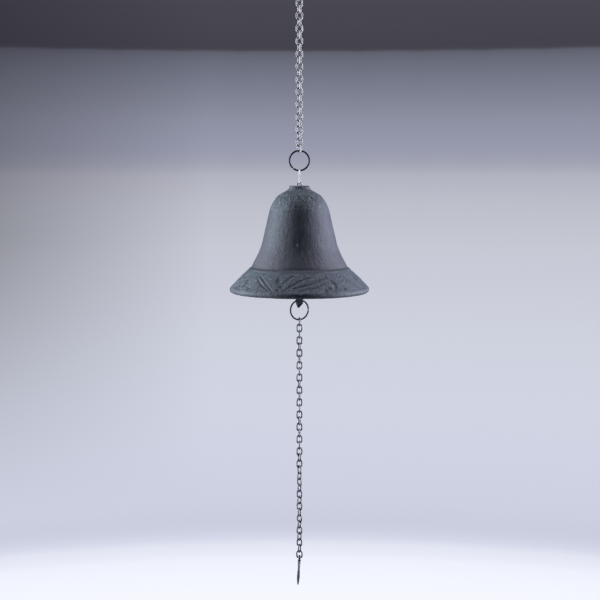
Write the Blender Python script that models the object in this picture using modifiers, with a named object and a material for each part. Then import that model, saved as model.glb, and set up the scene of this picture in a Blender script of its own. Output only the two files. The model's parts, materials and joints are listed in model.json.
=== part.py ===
"""Cast-iron bell hung on a chain, with a clapper, a pull chain and a leaf-shaped pull.

Metres, +Z up. The origin is the inside of the hanging ring's top, where a hook bears on it, and
everything hangs below it on the Z axis. Each piece that swings is parented to an empty on its
hinge, so the object hangs together as one chain of pivots.
"""

import math

import bmesh
import bpy
from mathutils import Matrix, Vector

GAP = 0.0003                    # running gap between pieces that bear on each other

# Wire rings that join the chains to the rest
RING_OUTER = 0.0214
RING_WIRE = 0.00175
PULL_RING_WIRE = 0.0016
RING_POINTS = 28
TOP_RING_BUTT = 230             # degrees from +X, where the bent ends of the wire meet
PULL_RING_BUTT = 357
BUTT_GAP = 0.0004

# Upper chain
TOP_PAIRS = 13
TOP_PITCH = 0.00618
TOP_WIDTH = 0.0075
TOP_WIRE = 0.0017
TOP_TURN = 21                   # degrees that the whole chain is turned about the vertical
TOP_LAST_TURN = 33

# Pull chain
PULL_PAIRS = 19
PULL_PITCH = 0.00633
PULL_WIDTH = 0.0065
PULL_WIRE = 0.0015
PULL_TURN = 8
PULL_TWIST = 52                 # degrees that the lower part of the chain is twisted further
PULL_TWIST_AT = 24              # the link in the middle of that twist
PULL_TWIST_OVER = 1.2           # links that the twist is spread over, each way
PULL_SHAKE = 9                  # degrees of slack twist from link to link

FUSE = 0.00045                  # how far the two links of a joined pair sink into each other
ARC_STEPS = 4
WIRE_SIDES_RESOLUTION = 1       # six-sided wire

# Hook between the upper ring and the bell's eye
HOOK_WIRE = 0.0012
HOOK_LOOP = 0.0022              # radius of each loop's centreline
HOOK_RISE = 0.0151              # from the middle of the top wire to the middle of the bottom wire

# Eye bolt through the crown, and what is on its shank inside the bell
EYE_OUTER = 0.0054
EYE_WIRE = 0.0013
EYE_STANDS = 0.0034             # top wire's centreline above the crown
SHANK_RADIUS = 0.0015
SHANK_BOTTOM = 0.0146           # below the crown's top
SHANK_HOLE = 0.0019
CROWN_THICKNESS = 0.0060
WASHER_OUTER = 0.0055
WASHER_THICKNESS = 0.0010
NUT_RADIUS = 0.0032
NUT_HEIGHT = 0.0028
EYE_NUT_RADIUS = 0.0030
EYE_NUT_HEIGHT = 0.0050
EYE_NUT_BORE_DEPTH = 0.0042
INNER_EYE_OUTER = 0.0076
INNER_EYE_WIRE = 0.0018

# Bell: radius and depth below the crown's top
BELL_STEPS = 36
COUNTERSINK_DEPTH = 0.0022
CROWN = [(0.0040, 0.0), (0.0092, 0.0), (0.0101, 0.0006), (0.0105, 0.0024)]
WAIST = [(0.0120, 0.0042), (0.0210, 0.0100), (0.0284, 0.0205), (0.0338, 0.0415),
         (0.0388, 0.0615), (0.0476, 0.0796)]
BEAD = [(0.0482, 0.0812), (0.0500, 0.0816), (0.0510, 0.0832)]
SKIRT = [(0.0568, 0.0885), (0.0632, 0.0950), (0.0686, 0.1002)]
LIP = [(0.0700, 0.1028), (0.0696, 0.1049), (0.0680, 0.1062), (0.0658, 0.1065), (0.0640, 0.1056)]
INNER_SKIRT = [(0.0618, 0.1022), (0.0560, 0.0957), (0.0496, 0.0893)]
INNER_WAIST = [(0.0440, 0.0800), (0.0350, 0.0617), (0.0298, 0.0418), (0.0242, 0.0222),
               (0.0172, 0.0128), (0.0080, 0.0078)]

# Clapper
CLAPPER_LINK_LENGTH = 0.0110
CLAPPER_LINK_WIDTH = 0.0072
CLAPPER_LINK_WIRE = 0.0016
CLAPPER_EYE_OUTER = 0.0074
CLAPPER_EYE_WIRE = 0.0020
CLAPPER_ROD = 0.0024
CLAPPER_BALL = 0.0095
BALL_DEPTH = 0.0990             # below the crown's top, as are the next two
PULL_HOLE_DEPTH = 0.1145
TAIL_TIP_DEPTH = 0.1226
TAIL_SIDE = 0.0058
TAIL_STRAIGHT_BOTTOM = 0.1178
TAIL_TURN = 26                  # degrees that the tail's square section is turned
PULL_HOLE = 0.0017

# Last link of the pull chain, and the leaf that hangs in it
END_LENGTH = 0.0094
END_WIDTH = 0.0071
END_WIRE = 0.0015
END_TURN = -16
LEAF_LENGTH = 0.0317
LEAF_WIDTH = 0.0150
LEAF_HOLE = 0.0018
LEAF_EYE_OUTER = 0.0033
LEAF_NECK = 0.0026              # half width of the neck below the eye
LEAF_EYE_THICKNESS = 0.0021
LEAF_NECK_THICKNESS = 0.0029
LEAF_THIN = 0.0019
LEAF_BELLY = 0.0028
LEAF_LEAN = 3.2                 # degrees that the leaf hangs out of plumb
LEAF_ROWS = 18
LEAF_SIDES = 12

COLOURS = {
    "zinc": ((0.62, 0.64, 0.67), 0.30, 1.0),
    "gunmetal": ((0.055, 0.055, 0.07), 0.40, 1.0),
    "antique": ((0.16, 0.155, 0.18), 0.45, 1.0),
    "cast_iron": ((0.085, 0.10, 0.12), 0.55, 0.6),
    "forged_iron": ((0.06, 0.06, 0.075), 0.50, 0.8),
}


# Scene, materials and placing

def clear_scene():
    for obj in list(bpy.data.objects):
        bpy.data.objects.remove(obj)


def new_collection(name):
    collection = bpy.data.collections.new(name)
    bpy.context.scene.collection.children.link(collection)
    return collection


def make_material(name):
    colour, roughness, metallic = COLOURS[name]
    material = bpy.data.materials.new(name)
    material.use_nodes = True
    shader = material.node_tree.nodes["Principled BSDF"]
    shader.inputs["Base Color"].default_value = (*colour, 1)
    shader.inputs["Roughness"].default_value = roughness
    shader.inputs["Metallic"].default_value = metallic
    return material


def add_pivot(body, height, parent=None):
    """Empty on the body's hinge, at this height on the Z axis."""
    pivot = bpy.data.objects.new("pivot_" + body, None)
    pivot.empty_display_size = 0.004
    parts.objects.link(pivot)
    pivot.parent = parent
    pivot["height"] = height
    pivot.location.z = height - (parent["height"] if parent else 0)
    return pivot


def place(obj, pivot, height, turn=0.0, lean=0.0):
    """Hang a piece on its pivot, its own origin at this height on the Z axis."""
    obj.parent = pivot
    obj.location = (0, 0, height - pivot["height"])
    obj.rotation_euler = (0, math.radians(lean), math.radians(turn))
    return obj


def hung_from(bar_height, bar_wire, wire):
    """Height of the wire that rests on a bar: the middle of its wire above the bar's middle."""
    return bar_height + (bar_wire + wire) / 2 + GAP


# Shapes

def add_mesh(name, mesh, material):
    mesh.name = name
    mesh.materials.clear()
    mesh.materials.append(materials[material])
    mesh.shade_smooth()
    mesh.set_sharp_from_angle(angle=math.radians(40))
    obj = bpy.data.objects.new(name, mesh)
    parts.objects.link(obj)
    return obj


def wire_curve(name, points, wire, closed):
    curve = bpy.data.curves.new(name, "CURVE")
    curve.dimensions = "3D"
    curve.twist_mode = "MINIMUM"
    curve.bevel_depth = wire / 2
    curve.bevel_resolution = WIRE_SIDES_RESOLUTION
    curve.use_fill_caps = True
    spline = curve.splines.new("POLY")
    spline.points.add(len(points) - 1)
    for point, place_at in zip(spline.points, points):
        point.co = (*place_at, 1)
    spline.use_cyclic_u = closed
    return curve


def add_wire(name, points, wire, closed, material):
    curve = wire_curve(name, points, wire, closed)
    curve.materials.append(materials[material])
    obj = bpy.data.objects.new(name, curve)
    parts.objects.link(obj)
    return obj


def evaluated_mesh(obj):
    bpy.context.view_layer.update()
    depsgraph = bpy.context.evaluated_depsgraph_get()
    return bpy.data.meshes.new_from_object(obj.evaluated_get(depsgraph))


def wire_mesh(points, wire, closed=True):
    """The same wire as a closed mesh, so that it can be joined to others."""
    curve = wire_curve("wire", points, wire, closed)
    obj = bpy.data.objects.new("wire", curve)
    parts.objects.link(obj)
    mesh = evaluated_mesh(obj)
    bpy.data.objects.remove(obj)
    shape = bmesh.new()
    shape.from_mesh(mesh)
    bmesh.ops.remove_doubles(shape, verts=shape.verts, dist=1e-6)
    bmesh.ops.recalc_face_normals(shape, faces=shape.faces)
    shape.to_mesh(mesh)
    shape.free()
    return mesh


def cylinder_mesh(radius, top, bottom, sides, tip_radius=None):
    """Upright cylinder or cone between two heights."""
    shape = bmesh.new()
    middle = Matrix.Translation((0, 0, (top + bottom) / 2))
    bmesh.ops.create_cone(shape, cap_ends=True, segments=sides, radius2=radius, depth=top - bottom,
                          radius1=radius if tip_radius is None else tip_radius, matrix=middle)
    mesh = bpy.data.meshes.new("cylinder")
    shape.to_mesh(mesh)
    shape.free()
    return mesh


def ball_mesh(radius, height, sides=20, rows=12):
    shape = bmesh.new()
    bmesh.ops.create_uvsphere(shape, u_segments=sides, v_segments=rows, radius=radius,
                              matrix=Matrix.Translation((0, 0, height)))
    mesh = bpy.data.meshes.new("ball")
    shape.to_mesh(mesh)
    shape.free()
    return mesh


def moved(mesh, height=0.0, turn=0.0):
    mesh.transform(Matrix.Translation((0, 0, height)) @ Matrix.Rotation(math.radians(turn), 4, "Z"))
    return mesh


def combine(base, others, operation="UNION"):
    """Join other meshes to a base, or cut them out of it, and return the result."""
    body = bpy.data.objects.new("base", base)
    parts.objects.link(body)
    tools = []
    for mesh in others:
        tool = bpy.data.objects.new("tool", mesh)
        tool.hide_render = True
        tool.display_type = "WIRE"
        cutters.objects.link(tool)
        step = body.modifiers.new(operation.title(), "BOOLEAN")
        step.operation = operation
        step.solver = "EXACT"
        step.object = tool
        tools.append(tool)
    result = evaluated_mesh(body)
    for obj in [body, *tools]:
        bpy.data.objects.remove(obj)
    return result


def turned(name, profile, steps, material):
    """Closed profile of (radius, height) points turned about the Z axis."""
    mesh = bpy.data.meshes.new(name)
    verts = [(radius, 0, height) for radius, height in profile]
    edges = [(i, (i + 1) % len(verts)) for i in range(len(verts))]
    mesh.from_pydata(verts, edges, [])
    obj = add_mesh(name, mesh, material)
    screw = obj.modifiers.new("Turn", "SCREW")
    screw.steps = steps
    screw.render_steps = steps
    screw.use_merge_vertices = True
    screw.merge_threshold = 1e-6
    screw.use_smooth_shade = True
    return obj


def smooth(knots, steps):
    """Points on a Catmull-Rom curve through the knots, from the first to the last."""
    ends = [knots[0], *knots, knots[-1]]
    points = []
    for a, b, c, d in zip(ends, ends[1:], ends[2:], ends[3:]):
        for step in range(steps):
            t = step / steps
            points.append(tuple(
                b[i] + 0.5 * t * (c[i] - a[i] + t * (2 * a[i] - 5 * b[i] + 4 * c[i] - d[i]
                                                     + t * (3 * (b[i] - c[i]) + d[i] - a[i])))
                for i in range(2)))
    return [*points, knots[-1]]


# Centrelines

def link_path(width, length, wire, steps=ARC_STEPS):
    """Straight-sided link in its own XZ plane, with its middle at the origin."""
    radius = (width - wire) / 2
    half = (length - wire) / 2 - radius
    points = []
    for side in (1, -1):
        for step in range(steps + 1):
            angle = math.pi * step / steps
            points.append(Vector((side * radius * math.cos(angle), 0,
                                  side * (half + radius * math.sin(angle)))))
    return points


def circle_path(radius, points):
    angles = [2 * math.pi * i / points for i in range(points)]
    return [Vector((radius * math.cos(a), 0, radius * math.sin(a))) for a in angles]


def split_ring_path(radius, points, butt):
    """Ring in its own XZ plane, open by a hair where its ends meet."""
    start = math.radians(butt) + BUTT_GAP / radius / 2
    sweep = 2 * math.pi - BUTT_GAP / radius
    angles = [start + sweep * i / points for i in range(points + 1)]
    return [Vector((radius * math.cos(a), 0, radius * math.sin(a))) for a in angles]


def hook_path():
    """S hook in the YZ plane, with the middle of its top wire at the origin."""
    upper = -HOOK_LOOP
    lower = -HOOK_RISE + HOOK_LOOP
    points = []
    for step in range(10):
        angle = math.radians(-50 + 230 * step / 9)
        points.append(Vector((0, HOOK_LOOP * math.cos(angle), upper + HOOK_LOOP * math.sin(angle))))
    for step in range(1, 5):
        t = step / 5
        swing = math.cos(math.pi * t)
        points.append(Vector((0, -HOOK_LOOP * swing, upper + (lower - upper) * t)))
    for step in range(10):
        angle = math.radians(-230 * step / 9)
        points.append(Vector((0, HOOK_LOOP * math.cos(angle), lower + HOOK_LOOP * math.sin(angle))))
    return points


# Sub-parts

def link_mesh(width, inner, wire, height, turn):
    """One chain link, with the middle of its top wire at this height."""
    length = inner + 2 * wire
    mesh = wire_mesh(link_path(width, length, wire), wire)
    return moved(mesh, height - (inner + wire) / 2, turn)


def add_chain(name, pairs, bar_height, bar_wire, parent, sizes, turn_of, material):
    """Hang a chain from a bar. Its links are joined two and two, each pair in one piece."""
    pitch, width, wire = sizes
    inner = pitch + (GAP - FUSE) / 2
    for pair in range(pairs):
        upper = hung_from(bar_height, bar_wire, wire)
        lower = upper - inner - FUSE
        own_wire = chain_turns_on_own_wire(pair)
        body = f"{name}_{pair + 1:02d}"
        pivot = add_pivot(body, upper if own_wire else bar_height, parent)
        first = link_mesh(width, inner, wire, upper, turn_of(2 * pair))
        second = link_mesh(width, inner, wire, lower, turn_of(2 * pair + 1))
        place(add_mesh(body, combine(first, [second]), material), pivot, 0)
        bar_height = lower - inner - wire
        bar_wire = wire
        parent = pivot
    return bar_height, parent


def chain_turns_on_own_wire(pair):
    """Hinges go two and two: on the wire that carries the link, then on the link's own wire."""
    return pair // 2 % 2 == 1


def top_turn(link):
    turn = TOP_LAST_TURN if link == 2 * TOP_PAIRS - 1 else TOP_TURN
    return turn + 90 * (link % 2)


def pull_turn(link):
    """The pull chain hangs almost square, then twists where its slack links have turned."""
    twist = PULL_TWIST / (1 + math.exp((PULL_TWIST_AT - link) / PULL_TWIST_OVER))
    shake = PULL_SHAKE * math.sin(2.1 * link)
    return PULL_TURN + twist + shake + 90 * ((link + 1) % 2)


def add_hanging_ring():
    radius = (RING_OUTER - RING_WIRE) / 2
    pivot = add_pivot("hanging_ring", 0)
    ring = add_wire("hanging_ring", split_ring_path(radius, RING_POINTS, TOP_RING_BUTT),
                    RING_WIRE, False, "gunmetal")
    place(ring, pivot, RING_WIRE / 2 - radius, turn=90)
    return RING_WIRE / 2 - 2 * radius, pivot


def add_top_ring(bar_height, parent):
    radius = (RING_OUTER - RING_WIRE) / 2
    pivot = add_pivot("top_ring", bar_height, parent)
    top = hung_from(bar_height, TOP_WIRE, RING_WIRE)
    ring = add_wire("top_ring", split_ring_path(radius, RING_POINTS, TOP_RING_BUTT),
                    RING_WIRE, False, "gunmetal")
    place(ring, pivot, top - radius)
    return top - 2 * radius, pivot


def add_s_hook(bar_height, parent):
    pivot = add_pivot("s_hook", bar_height, parent)
    top = hung_from(bar_height, RING_WIRE, HOOK_WIRE)
    place(add_wire("s_hook", hook_path(), HOOK_WIRE, False, "zinc"), pivot, top)
    return top - HOOK_RISE, pivot


def add_bell(bar_height, parent):
    """Bell casting with its eye bolt. Returns the heights of the crown and of the inner eye."""
    pivot = add_pivot("bell", bar_height, parent)
    crown = hung_from(bar_height, HOOK_WIRE, EYE_WIRE) - EYE_STANDS
    add_hanger_eye(pivot, crown)
    place(turned("bell_shell", bell_profile(), BELL_STEPS, "cast_iron"), pivot, crown)
    add_washer(pivot, crown)
    add_crown_nut(pivot, crown)
    inner_eye = add_clapper_eye(pivot, crown)
    return crown, inner_eye, pivot


def bell_profile():
    outer = [*CROWN, *smooth(WAIST, 3), *BEAD, *SKIRT, *LIP]
    inner = [*INNER_SKIRT, *smooth(INNER_WAIST, 2)]
    seat = [(WASHER_OUTER + 0.0005, CROWN_THICKNESS), (SHANK_HOLE, CROWN_THICKNESS),
            (SHANK_HOLE, COUNTERSINK_DEPTH)]
    return [(radius, -depth) for radius, depth in [*outer, *inner, *seat]]


def add_hanger_eye(pivot, crown):
    radius = (EYE_OUTER - EYE_WIRE) / 2
    eye = moved(wire_mesh(circle_path(radius, 16), EYE_WIRE), EYE_STANDS - radius)
    shank_top = EYE_STANDS - 2 * radius + EYE_WIRE / 4
    shank = cylinder_mesh(SHANK_RADIUS, shank_top, -SHANK_BOTTOM, 16)
    place(add_mesh("hanger_eye", combine(eye, [shank]), "zinc"), pivot, crown)


def add_washer(pivot, crown):
    top = -CROWN_THICKNESS - GAP
    bottom = top - WASHER_THICKNESS
    profile = [(SHANK_HOLE, top), (WASHER_OUTER, top), (WASHER_OUTER, bottom), (SHANK_HOLE, bottom)]
    place(turned("crown_washer", profile, 24, "zinc"), pivot, crown)


def add_crown_nut(pivot, crown):
    top = -CROWN_THICKNESS - WASHER_THICKNESS - 2 * GAP
    bottom = top - NUT_HEIGHT
    bore = cylinder_mesh(SHANK_HOLE, top + 0.001, bottom - 0.001, 16)
    nut = combine(cylinder_mesh(NUT_RADIUS, top, bottom, 6), [bore], "DIFFERENCE")
    place(add_mesh("crown_nut", nut, "zinc"), pivot, crown)


def add_clapper_eye(pivot, crown):
    """Eye nut on the end of the shank. Returns the height of the middle of its lowest wire."""
    top = -CROWN_THICKNESS - WASHER_THICKNESS - NUT_HEIGHT - 3 * GAP
    bottom = top - EYE_NUT_HEIGHT
    radius = (INNER_EYE_OUTER - INNER_EYE_WIRE) / 2
    centre = bottom - radius + INNER_EYE_WIRE / 4
    eye = moved(wire_mesh(circle_path(radius, 18), INNER_EYE_WIRE), centre)
    barrel = combine(cylinder_mesh(EYE_NUT_RADIUS, top, bottom, 20), [eye])
    bore = cylinder_mesh(SHANK_HOLE, top + 0.001, top - EYE_NUT_BORE_DEPTH, 16)
    nut = combine(barrel, [bore], "DIFFERENCE")
    place(add_mesh("clapper_eye", nut, "zinc"), pivot, crown)
    return crown + centre - radius


def add_clapper_link(bar_height, parent):
    pivot = add_pivot("clapper_link", bar_height, parent)
    top = hung_from(bar_height, INNER_EYE_WIRE, CLAPPER_LINK_WIRE)
    drop = CLAPPER_LINK_LENGTH - CLAPPER_LINK_WIRE
    path = link_path(CLAPPER_LINK_WIDTH, CLAPPER_LINK_LENGTH, CLAPPER_LINK_WIRE)
    link = add_wire("clapper_link", path, CLAPPER_LINK_WIRE, True, "zinc")
    place(link, pivot, top - drop / 2, turn=90)
    return top - drop, pivot


def add_clapper(bar_height, crown, parent):
    """Forged clapper: an eye, a rod, the ball that strikes, and a square tail with a hole."""
    pivot = add_pivot("clapper", bar_height, parent)
    top = hung_from(bar_height, CLAPPER_LINK_WIRE, CLAPPER_EYE_WIRE) - crown
    radius = (CLAPPER_EYE_OUTER - CLAPPER_EYE_WIRE) / 2
    eye = moved(wire_mesh(circle_path(radius, 18), CLAPPER_EYE_WIRE), top - radius)
    rod = cylinder_mesh(CLAPPER_ROD, top - 2 * radius, -BALL_DEPTH, 16)
    ball = ball_mesh(CLAPPER_BALL, -BALL_DEPTH)
    body = combine(eye, [rod, ball, tail_mesh()])
    hole = cylinder_mesh(PULL_HOLE, TAIL_SIDE, -TAIL_SIDE, 16)
    hole.transform(Matrix.Rotation(math.radians(90), 4, "Y"))
    hole = moved(hole, -PULL_HOLE_DEPTH, TAIL_TURN)
    place(add_mesh("clapper", combine(body, [hole], "DIFFERENCE"), "forged_iron"), pivot, crown)
    return pivot


def tail_mesh():
    """Square bar from the ball down to a four-sided point."""
    corner = TAIL_SIDE / math.sqrt(2)
    bar = cylinder_mesh(corner, -BALL_DEPTH - CLAPPER_BALL / 2, -TAIL_STRAIGHT_BOTTOM, 4)
    point = cylinder_mesh(corner, -TAIL_STRAIGHT_BOTTOM, -TAIL_TIP_DEPTH, 4, tip_radius=corner / 12)
    shape = bmesh.new()
    for mesh in (bar, point):
        shape.from_mesh(mesh)
    bmesh.ops.remove_doubles(shape, verts=shape.verts, dist=1e-6)
    inside = [f for f in shape.faces if abs(f.calc_center_median().z + TAIL_STRAIGHT_BOTTOM) < 1e-6]
    bmesh.ops.delete(shape, geom=inside, context="FACES_ONLY")
    mesh = bpy.data.meshes.new("tail")
    shape.to_mesh(mesh)
    shape.free()
    return moved(mesh, 0, TAIL_TURN + 45)


def add_pull_ring(crown, parent):
    radius = (RING_OUTER - PULL_RING_WIRE) / 2
    height = crown - PULL_HOLE_DEPTH
    pivot = add_pivot("pull_ring", height, parent)
    ring = add_wire("pull_ring", split_ring_path(radius, RING_POINTS, PULL_RING_BUTT),
                    PULL_RING_WIRE, False, "gunmetal")
    place(ring, pivot, height - radius, turn=TAIL_TURN)
    return height - 2 * radius, pivot


def add_end_link(bar_height, parent):
    pivot = add_pivot("end_link", bar_height, parent)
    top = hung_from(bar_height, PULL_WIRE, END_WIRE)
    drop = END_LENGTH - END_WIRE
    path = link_path(END_WIDTH, END_LENGTH, END_WIRE, 2 * ARC_STEPS)
    link = add_wire("end_link", path, END_WIRE, True, "antique")
    place(link, pivot, top - drop / 2, turn=END_TURN)
    return top - drop, pivot


def leaf_half_width(t):
    """Half width of the leaf, from the bottom of its eye (0) to its tip (1)."""
    belly = math.sin(math.pi * t ** 0.8) ** 0.9 if 0 < t < 1 else 0
    return LEAF_NECK * (1 - t) + (LEAF_WIDTH / 2 - LEAF_NECK * 0.45) * belly


def leaf_half_thickness(t):
    """Half thickness of the leaf: full at its neck, thin below it, full again at its belly."""
    waist = LEAF_THIN + (LEAF_NECK_THICKNESS - LEAF_THIN) * math.exp(-(t / 0.16) ** 2)
    belly = (LEAF_BELLY - LEAF_THIN) * math.exp(-((t - 0.62) / 0.22) ** 2)
    return (waist + belly) / 2 * math.sqrt(max(1 - t ** 8, 0))


def add_leaf(bar_height, parent):
    """Leaf-shaped pull in the YZ plane: a blade lofted from its eye to its tip, then drilled."""
    pivot = add_pivot("leaf_pull", bar_height, parent)
    bend = (END_WIDTH - END_WIRE) / 2
    rise = bend - math.sqrt(bend ** 2 - (LEAF_EYE_THICKNESS / 2) ** 2)
    eye_centre = END_WIRE / 2 + rise + 1.5 * GAP - LEAF_HOLE
    top = eye_centre + LEAF_EYE_OUTER
    start = eye_centre - LEAF_EYE_OUTER * 0.6
    length = LEAF_LENGTH - (top - start)
    shape = bmesh.new()
    rings = []
    for row in range(LEAF_ROWS):
        t = row / (LEAF_ROWS - 1) * 0.985
        half = max(leaf_half_width(t), 0.0004)
        thick = max(leaf_half_thickness(t), 0.0003)
        ring = []
        for side in range(LEAF_SIDES):
            angle = 2 * math.pi * side / LEAF_SIDES
            ring.append(shape.verts.new((thick * math.sin(angle), half * math.cos(angle),
                                         start - length * t)))
        rings.append(ring)
    bridge(shape, rings)
    blade = bpy.data.meshes.new("blade")
    shape.to_mesh(blade)
    shape.free()
    across = Matrix.Rotation(math.radians(90), 4, "Y")
    boss = cylinder_mesh(LEAF_EYE_OUTER, LEAF_EYE_THICKNESS / 2, -LEAF_EYE_THICKNESS / 2, 20)
    boss.transform(across)
    hole = cylinder_mesh(LEAF_HOLE, 0.004, -0.004, 16)
    hole.transform(across)
    body = combine(moved(boss, eye_centre), [blade])
    leaf = combine(body, [moved(hole, eye_centre)], "DIFFERENCE")
    place(add_mesh("leaf_pull", leaf, "antique"), pivot, bar_height, lean=LEAF_LEAN)


def bridge(shape, rings):
    """Faces between rings of verts with the same count, and a cap on each end."""
    for upper, lower in zip(rings, rings[1:]):
        for i in range(len(upper)):
            j = (i + 1) % len(upper)
            shape.faces.new((upper[i], upper[j], lower[j], lower[i]))
    shape.faces.new(rings[0])
    shape.faces.new(rings[-1])
    bmesh.ops.recalc_face_normals(shape, faces=shape.faces)


def build():
    bar, pivot = add_hanging_ring()
    bar, pivot = add_chain("top_chain", TOP_PAIRS, bar, RING_WIRE, pivot,
                           (TOP_PITCH, TOP_WIDTH, TOP_WIRE), top_turn, "zinc")
    bar, pivot = add_top_ring(bar, pivot)
    bar, pivot = add_s_hook(bar, pivot)
    crown, bar, pivot = add_bell(bar, pivot)
    bar, pivot = add_clapper_link(bar, pivot)
    pivot = add_clapper(bar, crown, pivot)
    bar, pivot = add_pull_ring(crown, pivot)
    bar, pivot = add_chain("pull_chain", PULL_PAIRS, bar, PULL_RING_WIRE, pivot,
                           (PULL_PITCH, PULL_WIDTH, PULL_WIRE), pull_turn, "antique")
    bar, pivot = add_end_link(bar, pivot)
    add_leaf(bar, pivot)


clear_scene()
parts = new_collection("hanging_bell")
cutters = new_collection("cutters")
materials = {name: make_material(name) for name in COLOURS}
build()
bpy.context.view_layer.update()
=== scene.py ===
"""Looks of the hanging bell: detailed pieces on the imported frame, a pale studio and a camera."""

import json
import math

import bmesh
import bpy
import numpy as np
from mathutils import Matrix, Vector


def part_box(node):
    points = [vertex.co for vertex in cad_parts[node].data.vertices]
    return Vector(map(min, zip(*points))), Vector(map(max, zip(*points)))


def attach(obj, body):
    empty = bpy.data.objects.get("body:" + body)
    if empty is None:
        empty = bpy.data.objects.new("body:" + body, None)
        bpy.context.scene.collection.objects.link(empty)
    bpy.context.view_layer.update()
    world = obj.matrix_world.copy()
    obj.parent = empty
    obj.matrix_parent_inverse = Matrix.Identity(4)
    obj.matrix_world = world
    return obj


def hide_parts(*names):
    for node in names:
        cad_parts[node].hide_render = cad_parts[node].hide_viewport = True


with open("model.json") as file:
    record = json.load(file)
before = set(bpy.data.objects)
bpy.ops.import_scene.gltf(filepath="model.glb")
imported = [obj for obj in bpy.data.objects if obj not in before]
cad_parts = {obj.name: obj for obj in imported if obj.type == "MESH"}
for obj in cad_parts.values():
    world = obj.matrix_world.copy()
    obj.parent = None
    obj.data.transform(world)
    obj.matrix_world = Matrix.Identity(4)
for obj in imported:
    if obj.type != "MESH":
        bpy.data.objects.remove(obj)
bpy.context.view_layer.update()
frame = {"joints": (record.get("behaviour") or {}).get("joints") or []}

# ---------------------------------------------------------------- sizes, in metres

TOP_PAIRS, TOP_PITCH, TOP_WIDTH, TOP_WIRE = 13, 0.00618, 0.0075, 0.0017
PULL_PAIRS, PULL_PITCH, PULL_WIDTH, PULL_WIRE = 19, 0.00633, 0.0065, 0.0015
LINK_PLAY = 0.00004                         # clearance where the two links of a pair meet
END_LINK_WIDTH, END_LINK_LENGTH, END_LINK_WIRE = 0.0071, 0.0094, 0.0015
RING_OUTER, HANGING_RING_OUTER = 0.0214, 0.02126
RING_WIRE, PULL_RING_WIRE = 0.00175, 0.0016
RING_GAP = 0.0007                           # between the cut ends of a split ring

# The casting's outline, as (radius, depth under the crown).
CROWN = [(0.0019, 0.0022), (0.0026, 0.0012), (0.0040, 0.00005), (0.0046, 0.0), (0.0088, 0.0),
         (0.0095, 0.0001), (0.0100, 0.0005), (0.0103, 0.0012), (0.0105, 0.0024)]
WAIST = [(0.0120, 0.0042), (0.0210, 0.0100), (0.0284, 0.0205), (0.0338, 0.0415),
         (0.0388, 0.0615), (0.0476, 0.0796)]
BEAD = [(0.0480, 0.0809), (0.0487, 0.0813), (0.0497, 0.0818), (0.0505, 0.0824), (0.0510, 0.0832)]
SKIRT = [(0.0510, 0.0832), (0.0568, 0.0885), (0.0632, 0.0950), (0.0682, 0.1001)]
LIP = [(0.0682, 0.1001), (0.0694, 0.1013), (0.06995, 0.1027), (0.0697, 0.1045), (0.0686, 0.1058),
       (0.0671, 0.10645), (0.0655, 0.1064), (0.0643, 0.1058), (0.0634, 0.1047), (0.0618, 0.1022)]
INNER = [(0.0618, 0.1022), (0.0560, 0.0957), (0.0496, 0.0893), (0.0440, 0.0800),
         (0.0350, 0.0617), (0.0298, 0.0418), (0.0242, 0.0222), (0.0172, 0.0128),
         (0.0080, 0.0078), (0.0062, 0.0061), (0.0058, 0.0060), (0.0019, 0.0060)]
BELL_COLUMNS = 440
BELL_REACH = 0.06999                        # the casting stays inside this radius
SHOULDER_DEPTH = 0.0235                     # where the shoulder's border ends
BORDERED = ("shoulder", "skirt", "crown", "lip")

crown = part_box("bell_shell")[1].z
rng = np.random.default_rng(7)


# ---------------------------------------------------------------- mesh helpers

def walked(line):
    """Distance along the line at each of its points."""
    return np.concatenate([[0], np.cumsum(np.linalg.norm(np.diff(line, axis=0), axis=1))])


def full_turn(steps):
    return np.linspace(0, 2 * math.pi, steps, endpoint=False)


def circle(radius, angles):
    """Points of a circle in the XZ plane."""
    return np.stack([radius * np.cos(angles), 0 * angles, radius * np.sin(angles)], 1)


def smooth(knots, steps):
    """Catmull-Rom curve through the knots, as an array."""
    knots = [np.array(k, float) for k in knots]
    ends = [knots[0], *knots, knots[-1]]
    out = []
    for a, b, c, d in zip(ends, ends[1:], ends[2:], ends[3:]):
        for step in range(steps):
            t = step / steps
            out.append(b + 0.5 * t * (c - a + t * (2 * a - 5 * b + 4 * c - d
                                                  + t * (3 * (b - c) + d - a))))
    out.append(knots[-1])
    return np.array(out)


def spaced(points, spacing):
    """The same line with its points evenly spaced."""
    length = walked(points)
    count = max(int(round(length[-1] / spacing)), 2)
    even = np.linspace(0, length[-1], count + 1)
    return np.stack([np.interp(even, length, points[:, i]) for i in range(points.shape[1])], 1)


def grid_faces(rows, columns, closed_rows):
    """Quads of a grid whose columns close up, and its rows too if closed_rows is set."""
    i = np.arange(rows if closed_rows else rows - 1)
    i, j = np.meshgrid(i, np.arange(columns), indexing="ij")
    k, m = (i + 1) % rows, (j + 1) % columns
    quads = np.stack([i * columns + j, i * columns + m, k * columns + m, k * columns + j], -1)
    return quads.reshape(-1, 4)


def shade(mesh, sharp):
    """Smooth shading, apart from edges of more than this many degrees."""
    mesh.shade_smooth()
    mesh.set_sharp_from_angle(angle=math.radians(sharp))


def in_scene(name, data):
    obj = bpy.data.objects.new(name, data)
    bpy.context.scene.collection.objects.link(obj)
    return obj


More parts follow.
